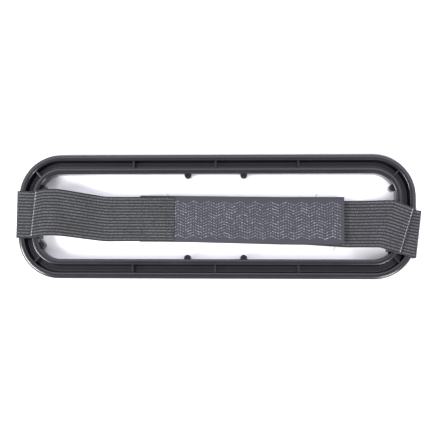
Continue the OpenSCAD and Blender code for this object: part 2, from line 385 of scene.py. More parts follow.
# Posts on the window's edge. Eight short round bosses with domed tops, moulded against the
# window wall: two on each long bar and one near each corner.
POST_RADIUS = 2.8
POST_REACH = 3.6
POST_HEIGHT = 8
POST_OFFSET = 22.9
END_POST_OFFSET = 23.4
post_tree, given = new_tree("window_posts", {"Radius": "Float", "Height": "Float", "Finish": "Material"})
top = add(post_tree, "ShaderNodeCombineXYZ", None, {"Z": given["Height"]})
axis = add(post_tree, "GeometryNodeCurvePrimitiveLine", None, {"End": top.outputs[0]})
levels = add(post_tree, "GeometryNodeResampleCurve", None, {"Curve": axis.outputs[0], "Count": 33})
share = add(post_tree, "GeometryNodeSplineParameter")
above = add(post_tree, "ShaderNodeMapRange", None, {
    "Value": share.outputs["Factor"], "From Min": 1 - POST_RADIUS / POST_HEIGHT, "From Max": 1,
    "To Min": 0, "To Max": 0.999})
squared = add(post_tree, "ShaderNodeMath", {"operation": "MULTIPLY"}, {
    0: above.outputs[0], 1: above.outputs[0]})
rest_of = add(post_tree, "ShaderNodeMath", {"operation": "SUBTRACT"}, {0: 1.0, 1: squared.outputs[0]})
dome = add(post_tree, "ShaderNodeMath", {"operation": "SQRT"}, {0: rest_of.outputs[0]})
swelled = add(post_tree, "GeometryNodeSetCurveRadius", None, {
    "Curve": levels.outputs[0], "Radius": dome.outputs[0]})
post_ring = add(post_tree, "GeometryNodeCurvePrimitiveCircle", None, {
    "Resolution": 28, "Radius": given["Radius"]})
post_body = add(post_tree, "GeometryNodeCurveToMesh", None, {
    "Curve": swelled.outputs[0], "Profile Curve": post_ring.outputs[0], "Fill Caps": True})
post_copies = add(post_tree, "GeometryNodeInstanceOnPoints", None, {
    "Points": given["Geometry"], "Instance": post_body.outputs[0]})
close_tree(post_tree, post_copies.outputs[0], given["Finish"])

post_inset = BAR_WIDTH + POST_REACH - POST_RADIUS
window_radius = CORNER_RADIUS - BAR_WIDTH
rise = END_POST_OFFSET - corner_y
end_shift = math.sqrt(window_radius ** 2 - rise ** 2) - window_radius
post_points = [(x * POST_OFFSET, y * (frame_high.y - post_inset), front_z)
               for x in (-1, 1) for y in (-1, 1)]
post_points += [(x * (frame_high.x + end_shift - post_inset), y * END_POST_OFFSET, front_z)
                for x in (-1, 1) for y in (-1, 1)]
posts = grow("window_posts", post_tree, guide_mesh("window_posts", post_points), {
    "Radius": POST_RADIUS * MM, "Height": POST_HEIGHT * MM, "Finish": black_abs})
posts.data.set_sharp_from_angle(angle=math.radians(40))
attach(posts, "frame")

# Left end loop. Black ribbed elastic, 38 mm wide, knitted round fifteen bands of rubber. It
# starts at its fold, goes down inside the window, under the bar, up outside and back on top.
STRAP_WIDTH = 38.1
ELASTIC = 1.2
SELVAGE = 0.6
RIB_COUNT = 15
GROOVE = 0.3
POINTS_PER_RIB = 6
KNIT_MM = 1.7
rib_pitch = (STRAP_WIDTH - 2 * SELVAGE) / RIB_COUNT


def ribbed_profile():
    """(place across, half thickness) of ribbed elastic, with a soft selvage at each edge."""
    found = [(0, ELASTIC * 0.2), (SELVAGE * 0.25, ELASTIC * 0.4)]
    for i in range(RIB_COUNT * POINTS_PER_RIB + 1):
        wave = (1 - math.cos(2 * math.pi * i / POINTS_PER_RIB)) / 2
        found.append((SELVAGE + rib_pitch * i / POINTS_PER_RIB, ELASTIC / 2 - GROOVE * (1 - wave)))
    found += [(STRAP_WIDTH - SELVAGE * 0.25, ELASTIC * 0.4), (STRAP_WIDTH, ELASTIC * 0.2)]
    return [(x / STRAP_WIDTH, half) for x, half in found]


def ribbon(name, lows, highs, profile, finish, press=None):
    """A closed band of cloth between two edge lines. profile gives its half thickness across,
    and press(point) how far the thread pulls in its outer face there."""
    stations = [(Vector(a), Vector(b)) for a, b in zip(lows, highs)]
    middles = [(a + b) / 2 for a, b in stations]
    points, places, along = [], [], 0
    for i, (low, high) in enumerate(stations):
        before, after = middles[max(i - 1, 0)], middles[min(i + 1, len(middles) - 1)]
        normal = (after - before).cross(high - low).normalized()
        along += (middles[i] - before).length
        spine = [low.lerp(high, s) for s, _ in profile]
        pulled = [press(p) if press else 0 for p in spine]
        points += [p + normal * (half - pull) for p, (_, half), pull in zip(spine, profile, pulled)]
        points += [p - normal * half for p, (_, half) in reversed(list(zip(spine, profile)))]
        places += [(s * STRAP_WIDTH, along) for s, _ in profile]
        places += [(s * STRAP_WIDTH, along) for s, _ in reversed(profile)]
    around, count = 2 * len(profile), len(profile)
    faces = tube_faces(len(stations), around)
    for first in (0, (len(stations) - 1) * around):
        faces += [(first + i, first + i + 1, first + around - 2 - i, first + around - 1 - i)
                  for i in range(count - 1)]
    return build(name, points, faces, finish, across=places)


def elastic_finish(name, ridge, groove):
    """Knitted elastic: painted highlight on the ridges and painted shade in the grooves between them, and
    short slanted stitches of spun polyester give each ridge a fine, uneven grain."""
    made, tree, shader = material(name, {"Roughness": 0.85, "IOR": 1.5, "Sheen Weight": 0.15,
                                         "Sheen Roughness": 0.5, "Specular IOR Level": 0.3})
    cloth = add(tree, "ShaderNodeUVMap", {"uv_map": "cloth"}).outputs[0]
    spot = add(tree, "ShaderNodeSeparateXYZ", None, {0: cloth})
    phase = add(tree, "ShaderNodeMath", {"operation": "MULTIPLY_ADD"}, {
        0: spot.outputs["X"], 1: 2 * math.pi / rib_pitch, 2: -2 * math.pi * SELVAGE / rib_pitch})
    wave = add(tree, "ShaderNodeMath", {"operation": "COSINE"}, {0: phase.outputs[0]})
    # Painted highlight and painted shade: the colour runs from the groove colour in each groove to the ridge
    # colour on each ridge.
    painted_rib_shade = add(tree, "ShaderNodeMapRange", {"interpolation_type": "SMOOTHSTEP"}, {
        "Value": wave.outputs[0], "From Min": 0.7, "From Max": -0.8, "To Min": 0, "To Max": 1})
    slant = add(tree, "ShaderNodeMath", {"operation": "MULTIPLY_ADD"}, {
        0: spot.outputs["X"], 1: 0.6, 2: spot.outputs["Y"]})
    stitch = add(tree, "ShaderNodeMath", {"operation": "MULTIPLY"}, {
        0: slant.outputs[0], 1: 2 * math.pi / KNIT_MM})
    knit = add(tree, "ShaderNodeMath", {"operation": "SINE"}, {0: stitch.outputs[0]})
    grain = add(tree, "ShaderNodeTexNoise", {"noise_dimensions": "2D"}, {
        "Vector": cloth, "Scale": 0.8, "Detail": 3, "Roughness": 0.75})
    stretch = add(tree, "ShaderNodeTexNoise", {"noise_dimensions": "2D"}, {
        "Vector": cloth, "Scale": 0.06, "Detail": 2})
    base = add(tree, "ShaderNodeMix", {"data_type": "RGBA"}, {
        0: painted_rib_shade.outputs[0], 6: linear(groove), 7: linear(ridge)})
    speckle = add(tree, "ShaderNodeMapRange", None, {
        "Value": grain.outputs["Fac"], "From Min": 0.35, "From Max": 0.66, "To Min": 0.4, "To Max": 1.7})
    patch = add(tree, "ShaderNodeMapRange", None, {
        "Value": stretch.outputs["Fac"], "From Min": 0.3, "From Max": 0.7, "To Min": 0.88, "To Max": 1.12})
    both = add(tree, "ShaderNodeMath", {"operation": "MULTIPLY"}, {
        0: speckle.outputs[0], 1: patch.outputs[0]})
    thread_light = add(tree, "ShaderNodeMapRange", None, {
        "Value": knit.outputs[0], "From Min": -1, "From Max": 1, "To Min": 0.72, "To Max": 1.28})
    level = add(tree, "ShaderNodeMath", {"operation": "MULTIPLY"}, {
        0: both.outputs[0], 1: thread_light.outputs[0]})
    shaded = add(tree, "ShaderNodeVectorMath", {"operation": "SCALE"}, {
        0: base.outputs[2], "Scale": level.outputs[0]})
    tree.links.new(shaded.outputs[0], shader.inputs["Base Color"])
    height = add(tree, "ShaderNodeMath", {"operation": "MULTIPLY_ADD"}, {
        0: knit.outputs[0], 1: 0.3, 2: grain.outputs["Fac"]})
    relief = add(tree, "ShaderNodeBump", None, {
        "Height": height.outputs[0], "Strength": 0.6, "Distance": 0.00012})
    tree.links.new(relief.outputs["Normal"], shader.inputs["Normal"])
    return made


olive_elastic = elastic_finish("left_knitted_elastic", "#3a3b3c", "#101011")
joints = {joint["name"]: joint for joint in frame["joints"]}


def fold_line(joint):
    """The low and high ends of a strap's fold, and the direction from it into the window."""
    place = Vector(joints[joint]["pos_m"]) / MM
    along = Vector(joints[joint]["axis"])
    along *= math.copysign(1, along.y)
    inwards = Vector((along.y, -along.x, 0)) * -math.copysign(1, place.x)
    return [place - along * STRAP_WIDTH / 2, place + along * STRAP_WIDTH / 2], inwards


def bent(corners, radius, spans):
    """A line through corners, each rounded by radius, with so many points on each straight."""
    line = []
    for i, (start, end) in enumerate(zip(corners, corners[1:])):
        way = (end - start).normalized()
        first = start + way * (radius if i else 0)
        last = end - way * (radius if i + 2 < len(corners) else 0)
        line += [first.lerp(last, k / spans[i]) for k in range(spans[i] + 1)]
        if i + 2 < len(corners):
            after = (corners[i + 2] - end).normalized()
            for k in range(1, BEND_STEPS):
                turn = math.pi / 2 * k / BEND_STEPS
                line.append(end - way * radius * (1 - math.sin(turn)) + after * radius * (1 - math.cos(turn)))
    return line


def at_height(point, z):
    return Vector((point[0], point[1], z))


def end_loop(name, joint, inner, outer, finish):
    """The ribbon of one end loop. inner and outer give its two walls, low end first."""
    fold, inwards = fold_line(joint)
    box_low, box_high = (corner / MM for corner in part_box(name))
    outwards = math.copysign(1, fold[0].x)
    half = ELASTIC / 2
    tab_z, under_z = box_high.z - half, box_low.z + half
    top_z = tab_z - ELASTIC
    edges = []
    for start, wall, far_wall in zip(fold, inner, outer):
        wall = Vector((wall[0] + outwards * half, wall[1], 0))
        far_wall = Vector((far_wall[0] - outwards * half, far_wall[1], 0))
        last = wall + Vector((outwards * LAP_GAP, 0, 0))
        edges.append(bent([at_height(start + inwards * NOSE_INSET, tab_z), at_height(wall, tab_z),
                           at_height(wall, under_z), at_height(far_wall, under_z),
                           at_height(far_wall, top_z), at_height(last, top_z)],
                          BEND, [2, 10, 10, 10, 12]))
    made = ribbon(name + "_cloth", edges[0], edges[1], ribs_across, finish)
    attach(made, "frame")
    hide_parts(name)
    return made


NOSE_INSET = 0.9
LAP_GAP = 1.6
BEND = 1.5
BEND_STEPS = 7
ribs_across = ribbed_profile()
left_loop = end_loop("left_end_loop", "left_strap_fold",
                     inner=[(-143.4, -17.9), (-143.4, 20.2)],
                     outer=[(-163.5, -17.7), (-163.2, 20.9)], finish=olive_elastic)

# Left elastic. The same strip goes on from the loop: it turns over at the fold, lies on the
# end bar, drops into the window and is sewn on top of the hook tape. The pull narrows it.
NOSE_REACH = 0.6
NOSE_STEPS = 10
SPLICE_WIDTH = 36.6


def ease(t):
    """An S from 0 to 1 that is straight in the middle, like the strap's way down."""
    end, slope = 0.2, 1.25
    if t <= 0 or t >= 1:
        return 0.0 if t <= 0 else 1.0
    if t > 1 - end:
        return 1 - ease(1 - t)
    return slope * t * t / (2 * end) if t < end else slope * (t - end / 2)


def nose(name, joint, finish):
    """The turned-over fold, from the sewn tab on the loop up to the strap's free length."""
    fold, inwards = fold_line(joint)
    tab_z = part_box("left_end_loop")[1].z / MM - ELASTIC / 2
    band_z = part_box("left_elastic")[1].z / MM - ELASTIC / 2
    rise_half = (band_z - tab_z) / 2
    turns = [math.pi * k / NOSE_STEPS for k in range(NOSE_STEPS + 1)]
    edges = [[at_height(end + inwards * (NOSE_INSET - NOSE_REACH * math.sin(t)),
                        tab_z + rise_half * (1 - math.cos(t))) for t in turns] for end in fold]
    made = ribbon(name, edges[0], edges[1], ribs_across, finish)
    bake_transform(made)
    return made


# The same elastic where it turns over, in a paler colour: a painted highlight along the bend.
fold_highlight_elastic = elastic_finish("elastic_painted_highlight_at_fold", "#77777a", "#3c3c3f")
left_nose = nose("left_fold", "left_strap_fold", fold_highlight_elastic)

tape_low, tape_high = (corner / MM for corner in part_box("hook_tape"))
band_low, band_high = (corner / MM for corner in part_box("left_elastic"))
tape_mid_y = (tape_low.y + tape_high.y) / 2
BOX_LENGTH = 19.4
BOX_HEIGHT = 33.7


def box_rows(centre):
    """The five rows of a box stitch with one diagonal, as pairs of points."""
    x, y = BOX_LENGTH / 2, BOX_HEIGHT / 2
    corners = [Vector((centre[0] + sx * x, centre[1] + sy * y))
               for sx, sy in ((-1, -1), (1, -1), (1, 1), (-1, 1))]
    return [(corners[i], corners[(i + 1) % 4]) for i in range(4)] + [(corners[0], corners[2])]


def pulled_in(rows):
    """How far the thread of these rows pulls the cloth in at a point."""
    def press(point):
        flat = Vector((point[0], point[1]))
        near = min((flat - start.lerp(end, min(1, max(0, (flat - start).dot(end - start)
                    / (end - start).length_squared)))).length for start, end in rows)
        return STITCH_DIP * math.exp(-(near / STITCH_DIP_WIDTH) ** 2)
    return press


STITCH_DIP = 0.42
STITCH_DIP_WIDTH = 0.9
SPLICE_SHIFT = 0.9
splice_mid = (tape_low.x + band_high.x) / 2 - SPLICE_SHIFT
TAPE_START_Y = 0.8
TAPE_SLOPE = 1.3
TAPE_SLOPE_RUN = 130


def drift(x):
    """How far the hook tape lies to the high side of its place, more so at its sewn end."""
    return TAPE_START_Y - TAPE_SLOPE * ease((x - tape_low.x) / TAPE_SLOPE_RUN)


left_rows = box_rows((splice_mid, tape_mid_y + drift(splice_mid)))

left_fold, left_inwards = fold_line("left_strap_fold")
SHELF_X = -140
LEFT_STEP = 0.9
LEFT_START_Y = 3.2
BELOW_TAPE = 0.4
SHIFT_START, SHIFT_RUN = -133, 47
NARROW_START, NARROW_RUN = -130, 60
DROP_START, DROP_RUN = -138, 45
left_edges = [[], []]
top_mid_z, splice_mid_z = band_high.z - ELASTIC / 2, tape_high.z + ELASTIC / 2
left_steps = int((band_high.x - SHELF_X) / LEFT_STEP) + 1
for x in [SHELF_X + i * LEFT_STEP for i in range(left_steps)] + [band_high.x]:
    shift, narrowing, drop = (ease((x - first) / run) for first, run in (
        (SHIFT_START, SHIFT_RUN), (NARROW_START, NARROW_RUN), (DROP_START, DROP_RUN)))
    middle = LEFT_START_Y + (tape_mid_y + drift(x) - BELOW_TAPE - LEFT_START_Y) * shift
    half = (STRAP_WIDTH + (SPLICE_WIDTH - STRAP_WIDTH) * narrowing) / 2
    z = top_mid_z + (splice_mid_z - top_mid_z) * drop
    for edge, side in zip(left_edges, (-1, 1)):
        edge.append(Vector((x, middle + side * half, z)))
for edge, end in zip(left_edges, left_fold):
    start = at_height(end + left_inwards * NOSE_INSET, top_mid_z)
    edge[0:0] = [start.lerp(edge[0], k / 8) for k in range(8)]
left_band = ribbon("left_elastic_cloth", left_edges[0], left_edges[1], ribs_across, olive_elastic,
                   press=pulled_in(left_rows))
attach(left_band, "left_strap")
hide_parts("left_elastic")

# Hook tape. Woven black nylon, 38 mm wide, hook side down. The hooks' thick threads show on
# its back as a herringbone of small floats between two plain selvages.
TAPE_CLOTH = 0.8
TAPE_SELVAGE = 3
TAPE_STEP = 2.5


def flat_profile():
    """(place across, half thickness) of woven tape with thin rounded edges."""
    half = TAPE_CLOTH / 2
    left_side = [(0, half * 0.35), (0.12, half * 0.7), (0.35, half * 0.92),
                 (TAPE_SELVAGE * 0.8, half * 0.95), (TAPE_SELVAGE, half)]
    inner = [(TAPE_SELVAGE + i * (STRAP_WIDTH - 2 * TAPE_SELVAGE) / 12, half) for i in range(1, 12)]
    right_side = [(STRAP_WIDTH - x, h) for x, h in reversed(left_side)]
    return [(x / STRAP_WIDTH, h) for x, h in left_side + inner + right_side]


def tape(name, box, cloth_z, finish, sideways):
    """The woven ground of a fastener tape. sideways(x) is how far it lies off its place there."""
    low, high = box
    count = int((high.x - low.x) / TAPE_STEP)
    xs = [low.x + (high.x - low.x) * i / count for i in range(count + 1)]
    edges = [[Vector((x, y + sideways(x), cloth_z)) for x in xs] for y in (low.y, high.y)]
    return ribbon(name, edges[0], edges[1], flat_profile(), finish)


def woven_finish(name, light, dark, thread_mm):
    """Woven nylon: crossed threads, each painted lighter on top as a painted highlight and darker in the gaps
    between them as painted shade.
    """
    made, tree, shader = material(name, {"Roughness": 0.7, "IOR": 1.53, "Sheen Weight": 0.2,
                                         "Sheen Roughness": 0.4, "Specular IOR Level": 0.4})
    cloth = add(tree, "ShaderNodeUVMap", {"uv_map": "cloth"}).outputs[0]
    spot = add(tree, "ShaderNodeSeparateXYZ", None, {0: cloth})
    waves = []
    for axis_name in ("X", "Y"):
        turned = add(tree, "ShaderNodeMath", {"operation": "MULTIPLY"}, {
            0: spot.outputs[axis_name], 1: math.pi / thread_mm})
        waves.append(add(tree, "ShaderNodeMath", {"operation": "SINE"}, {0: turned.outputs[0]}).outputs[0])
    crossed = add(tree, "ShaderNodeMath", {"operation": "MULTIPLY"}, {0: waves[0], 1: waves[1]})
    fibre = add(tree, "ShaderNodeTexNoise", {"noise_dimensions": "2D"}, {
        "Vector": cloth, "Scale": 1.3, "Detail": 4, "Roughness": 0.75})
    # Painted highlight on the thread tops and painted shade in the gaps, with a random fibre tone added.
    painted_weave_shade = add(tree, "ShaderNodeMapRange", None, {
        "Value": crossed.outputs[0], "From Min": -1, "From Max": 1, "To Min": 0.3, "To Max": 0.7})
    mixed = add(tree, "ShaderNodeMath", {"operation": "MULTIPLY_ADD"}, {
        0: fibre.outputs["Fac"], 1: 0.8, 2: painted_weave_shade.outputs[0]})
    share = add(tree, "ShaderNodeMath", {"operation": "SUBTRACT", "use_clamp": True}, {
        0: mixed.outputs[0], 1: 0.4})
    tone = add(tree, "ShaderNodeMix", {"data_type": "RGBA"}, {
        0: share.outputs[0], 6: linear(dark), 7: linear(light)})
    tree.links.new(tone.outputs[2], shader.inputs["Base Color"])
    relief = add(tree, "ShaderNodeBump", None, {
        "Height": mixed.outputs[0], "Strength": 0.7, "Distance": 0.00015})
    tree.links.new(relief.outputs["Normal"], shader.inputs["Normal"])
    return made


tape_ground = woven_finish("woven_nylon_ground", "#2b2b33", "#131317", 0.45)
hook_cloth_z = tape_high.z - TAPE_CLOTH / 2
hook_cloth = tape("hook_tape_cloth", (tape_low, tape_high), hook_cloth_z, tape_ground, drift)
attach(hook_cloth, "left_strap")
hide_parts("hook_tape")
tape_size = tape_high - tape_low

# Bundles of unspun nylon, each painted at random between a dark and a light colour: a painted highlight along
# some of them and none on others.
float_thread, float_tree, float_shader = material("nylon_floats", {
    "Roughness": 0.45, "IOR": 1.53, "Sheen Weight": 0.1})
tone_of = add(float_tree, "ShaderNodeAttribute", {"attribute_name": "tone"})
float_painted_highlight = add(float_tree, "ShaderNodeMix", {"data_type": "RGBA"}, {
    0: tone_of.outputs["Fac"], 6: linear("#3c3c45"), 7: linear("#74747f")})
float_tree.links.new(float_painted_highlight.outputs[2], float_shader.inputs["Base Color"])

COLUMN_PITCH = 2.1
FLOAT_PITCH = 2.3
CHEVRON_COLUMNS = 3
FLOAT_LENGTH = 1.5
FLOAT_THICKNESS = 0.7
FLOAT_SLANT = 35
FLOAT_WANDER = 22
FIRST_COLUMN = 2
SUNK = 0.05
floats_tree, given = new_tree("herringbone_floats", {
    "Length": "Float", "Thickness": "Float", "Slant": "Float", "Wander": "Float", "Finish": "Material"})
half_float = add(floats_tree, "ShaderNodeMath", {"operation": "MULTIPLY"}, {0: given["Length"], 1: 0.5})
back_float = add(floats_tree, "ShaderNodeMath", {"operation": "MULTIPLY"}, {0: given["Length"], 1: -0.5})
float_start = add(floats_tree, "ShaderNodeCombineXYZ", None, {"X": back_float.outputs[0]})
float_middle = add(floats_tree, "ShaderNodeCombineXYZ", None, {"Z": given["Thickness"]})
float_end = add(floats_tree, "ShaderNodeCombineXYZ", None, {"X": half_float.outputs[0]})
float_arch = add(floats_tree, "GeometryNodeCurveQuadraticBezier", None, {
    "Resolution": 5, "Start": float_start.outputs[0], "Middle": float_middle.outputs[0],
    "End": float_end.outputs[0]})
float_radius = add(floats_tree, "ShaderNodeMath", {"operation": "MULTIPLY"}, {0: given["Thickness"], 1: 0.5})
float_round = add(floats_tree, "GeometryNodeCurvePrimitiveCircle", None, {
    "Resolution": 5, "Radius": float_radius.outputs[0]})
float_body = add(floats_tree, "GeometryNodeCurveToMesh", None, {
    "Curve": float_arch.outputs[0], "Profile Curve": float_round.outputs[0], "Fill Caps": True})
float_side = add(floats_tree, "GeometryNodeInputNamedAttribute", {"data_type": "FLOAT"}, {"Name": "turn"})
slanted = add(floats_tree, "ShaderNodeMath", {"operation": "MULTIPLY"}, {
    0: float_side.outputs["Attribute"], 1: given["Slant"]})
wobble = add(floats_tree, "FunctionNodeRandomValue", {"data_type": "FLOAT"}, {
    "Min": -1.0, "Max": 1.0, "Seed": 3})
wobbled = add(floats_tree, "ShaderNodeMath", {"operation": "MULTIPLY_ADD"}, {
    0: wobble.outputs["Value"], 1: given["Wander"], 2: slanted.outputs[0]})
float_euler = add(floats_tree, "ShaderNodeCombineXYZ", None, {"Z": wobbled.outputs[0]})
float_scale = add(floats_tree, "FunctionNodeRandomValue", {"data_type": "FLOAT"}, {
    "Min": 0.7, "Max": 1.15, "Seed": 8})
float_copies = add(floats_tree, "GeometryNodeInstanceOnPoints", None, {
    "Points": given["Geometry"], "Instance": float_body.outputs[0], "Rotation": float_euler.outputs[0],
    "Scale": float_scale.outputs["Value"]})
# A random share of painted highlight for each float, kept as its tone.
float_highlight_share = add(floats_tree, "FunctionNodeRandomValue", {"data_type": "FLOAT"}, {
    "Min": 0.0, "Max": 1.0, "Seed": 21})
toned = add(floats_tree, "GeometryNodeStoreNamedAttribute", {"data_type": "FLOAT", "domain": "INSTANCE"}, {
    "Geometry": float_copies.outputs[0], "Name": "tone", "Value": float_highlight_share.outputs["Value"]})
close_tree(floats_tree, toned.outputs[0], given["Finish"])
chance = random.Random(11)
float_points, float_turns = [], []
columns = int((tape_size.x - FIRST_COLUMN) / COLUMN_PITCH)
rows = int((tape_size.y - 2 * TAPE_SELVAGE) / FLOAT_PITCH)
climb = 0
for column in range(columns):
    way = -1 if column // CHEVRON_COLUMNS % 2 else 1
    climb += way
    for row in range(rows):
        x = tape_low.x + FIRST_COLUMN + column * COLUMN_PITCH + chance.uniform(-0.2, 0.2)
        steps = row + 0.3 + climb / 3
        y = tape_low.y + TAPE_SELVAGE + steps * FLOAT_PITCH + chance.uniform(-0.2, 0.2)
        float_points.append((x, y + drift(x), tape_high.z - SUNK))
        float_turns.append(way)
float_guide = guide_mesh("herringbone", float_points, turns=float_turns)
herringbone = grow("hook_tape_herringbone", floats_tree, float_guide, {
    "Length": FLOAT_LENGTH * MM, "Thickness": FLOAT_THICKNESS * MM, "Slant": math.radians(FLOAT_SLANT),
    "Wander": math.radians(FLOAT_WANDER), "Finish": float_thread})
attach(herringbone, "left_strap")

# Hooks. Stiff nylon monofilament, woven in as loops and cut on one side, so that each stands
# up and curls over into a hook. They point down, at the pile of the loop tape.
HOOK_PITCH = 1.7
HOOK_HEIGHT = 0.62
HOOK_REACH = 0.55
HOOK_THICKNESS = 0.2
# Solid nylon filament, dyed black: smooth enough for a small highlight on each curl.
filament = material("cut_nylon_monofilament", {
    "Base Color": linear("#26262a"), "Roughness": 0.3, "IOR": 1.53})[0]
hooks_tree, given = new_tree("fastener_hooks", {
    "Height": "Float", "Reach": "Float", "Thickness": "Float", "Finish": "Material"})
stem_top = add(hooks_tree, "ShaderNodeMath", {"operation": "MULTIPLY"}, {0: given["Height"], 1: 1.9})
curl_z = add(hooks_tree, "ShaderNodeMath", {"operation": "MULTIPLY"}, {0: given["Height"], 1: 1.2})
tip_z = add(hooks_tree, "ShaderNodeMath", {"operation": "MULTIPLY"}, {0: given["Height"], 1: 0.45})
stem = add(hooks_tree, "ShaderNodeCombineXYZ", None, {"Z": stem_top.outputs[0]})
curl = add(hooks_tree, "ShaderNodeCombineXYZ", None, {"X": given["Reach"], "Z": curl_z.outputs[0]})
tip = add(hooks_tree, "ShaderNodeCombineXYZ", None, {"X": given["Reach"], "Z": tip_z.outputs[0]})
hook_line = add(hooks_tree, "GeometryNodeCurvePrimitiveBezierSegment", {"mode": "POSITION"}, {
    "Resolution": 6, "Start": (0, 0, 0), "Start Handle": stem.outputs[0], "End Handle": curl.outputs[0],
    "End": tip.outputs[0]})
hook_radius = add(hooks_tree, "ShaderNodeMath", {"operation": "MULTIPLY"}, {0: given["Thickness"], 1: 0.5})
hook_round = add(hooks_tree, "GeometryNodeCurvePrimitiveCircle", None, {
    "Resolution": 4, "Radius": hook_radius.outputs[0]})
hook_body = add(hooks_tree, "GeometryNodeCurveToMesh", None, {
    "Curve": hook_line.outputs[0], "Profile Curve": hook_round.outputs[0], "Fill Caps": True})
hook_turn = add(hooks_tree, "GeometryNodeInputNamedAttribute", {"data_type": "FLOAT"}, {"Name": "turn"})
lean = add(hooks_tree, "FunctionNodeRandomValue", {"data_type": "FLOAT"}, {
    "Min": -0.35, "Max": 0.35, "Seed": 5})
hook_way = add(hooks_tree, "ShaderNodeMath", {"operation": "ADD"}, {
    0: hook_turn.outputs["Attribute"], 1: lean.outputs["Value"]})
hook_euler = add(hooks_tree, "ShaderNodeCombineXYZ", None, {"X": math.pi, "Z": hook_way.outputs[0]})
hook_copies = add(hooks_tree, "GeometryNodeInstanceOnPoints", None, {
    "Points": given["Geometry"], "Instance": hook_body.outputs[0], "Rotation": hook_euler.outputs[0]})
close_tree(hooks_tree, hook_copies.outputs[0], given["Finish"])

hook_points, hook_turns = [], []
cloth_under = tape_high.z - TAPE_CLOTH
for column in range(int((tape_size.x - 2) / HOOK_PITCH)):
    for row in range(int((tape_size.y - 2 * TAPE_SELVAGE) / HOOK_PITCH)):
        x = tape_low.x + 1.5 + column * HOOK_PITCH + chance.uniform(-0.15, 0.15)
        y = tape_low.y + TAPE_SELVAGE + (row + 0.5) * HOOK_PITCH + chance.uniform(-0.15, 0.15)
        hook_points.append((x, y + drift(x), cloth_under + SUNK))
        hook_turns.append(math.pi * (row % 2))
hooks = grow("hook_tape_hooks", hooks_tree, guide_mesh("hooks", hook_points, turns=hook_turns), {
    "Height": HOOK_HEIGHT * MM, "Reach": HOOK_REACH * MM, "Thickness": HOOK_THICKNESS * MM,
    "Finish": filament})
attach(hooks, "left_strap")

# Splice of the left elastic. A box of lockstitch with one diagonal, in bonded black polyester
# thread, goes through the elastic and the tape under it and pulls both in along its rows.
THREAD = 0.55
STITCH_PITCH = 3
STITCH_LENGTH = 2.5
# Twisted polyester in a thin coat of resin: darker than the cloth, with a dull shine.
bonded_thread, thread_tree, thread_shader = material("bonded_polyester_thread", {
    "Roughness": 0.5, "IOR": 1.55})
THREAD_TWIST_MM = 0.4
thread_place = add(thread_tree, "ShaderNodeTexCoord").outputs["Object"]
twist = add(thread_tree, "ShaderNodeTexWave", {"bands_direction": "DIAGONAL"}, {
    "Vector": thread_place, "Scale": 0.5 / (THREAD_TWIST_MM * MM), "Distortion": 0.5})
ply = add(thread_tree, "ShaderNodeMix", {"data_type": "RGBA"}, {
    0: twist.outputs["Fac"], 6: linear("#0c0c0e"), 7: linear("#1a1a1d")})
thread_tree.links.new(ply.outputs[2], thread_shader.inputs["Base Color"])

stitch_tree, given = new_tree("stitch_rows", {
    "Pitch": "Float", "Length": "Float", "Thread": "Float", "Wander": "Float", "Finish": "Material"})
row_curve = add(stitch_tree, "GeometryNodeMeshToCurve", None, {0: given["Geometry"]})
needle_holes = add(stitch_tree, "GeometryNodeResampleCurve", {"mode": "LENGTH"}, {
    "Curve": row_curve.outputs[0], "Length": given["Pitch"]})
half_stitch = add(stitch_tree, "ShaderNodeMath", {"operation": "MULTIPLY"}, {0: given["Length"], 1: 0.5})
back_stitch = add(stitch_tree, "ShaderNodeMath", {"operation": "MULTIPLY"}, {0: given["Length"], 1: -0.5})
sunk = add(stitch_tree, "ShaderNodeMath", {"operation": "MULTIPLY"}, {0: given["Thread"], 1: -0.9})
stitch_start = add(stitch_tree, "ShaderNodeCombineXYZ", None, {
    "X": back_stitch.outputs[0], "Z": sunk.outputs[0]})
stitch_middle = add(stitch_tree, "ShaderNodeCombineXYZ", None, {"Z": given["Thread"]})
stitch_end = add(stitch_tree, "ShaderNodeCombineXYZ", None, {
    "X": half_stitch.outputs[0], "Z": sunk.outputs[0]})
stitch_line = add(stitch_tree, "GeometryNodeCurveQuadraticBezier", None, {
    "Resolution": 7, "Start": stitch_start.outputs[0], "Middle": stitch_middle.outputs[0],
    "End": stitch_end.outputs[0]})
thread_radius = add(stitch_tree, "ShaderNodeMath", {"operation": "MULTIPLY"}, {0: given["Thread"], 1: 0.5})
thread_round = add(stitch_tree, "GeometryNodeCurvePrimitiveCircle", None, {
    "Resolution": 6, "Radius": thread_radius.outputs[0]})
stitch_body = add(stitch_tree, "GeometryNodeCurveToMesh", None, {
    "Curve": stitch_line.outputs[0], "Profile Curve": thread_round.outputs[0], "Fill Caps": True})
row_way = add(stitch_tree, "GeometryNodeInputTangent")
level_way = add(stitch_tree, "FunctionNodeAlignRotationToVector", {"axis": "X", "pivot_axis": "Z"}, {
    "Vector": row_way.outputs[0]})
sway = add(stitch_tree, "FunctionNodeRandomValue", {"data_type": "FLOAT"}, {
    "Min": -1.0, "Max": 1.0, "Seed": 2})
swayed = add(stitch_tree, "ShaderNodeMath", {"operation": "MULTIPLY"}, {
    0: sway.outputs["Value"], 1: given["Wander"]})
sway_euler = add(stitch_tree, "ShaderNodeCombineXYZ", None, {"Z": swayed.outputs[0]})
stitch_way = add(stitch_tree, "FunctionNodeRotateRotation", {"rotation_space": "LOCAL"}, {
    "Rotation": level_way.outputs[0], "Rotate By": sway_euler.outputs[0]})
stitch_copies = add(stitch_tree, "GeometryNodeInstanceOnPoints", None, {
    "Points": needle_holes.outputs[0], "Instance": stitch_body.outputs[0], "Rotation": stitch_way.outputs[0]})
close_tree(stitch_tree, stitch_copies.outputs[0], given["Finish"])


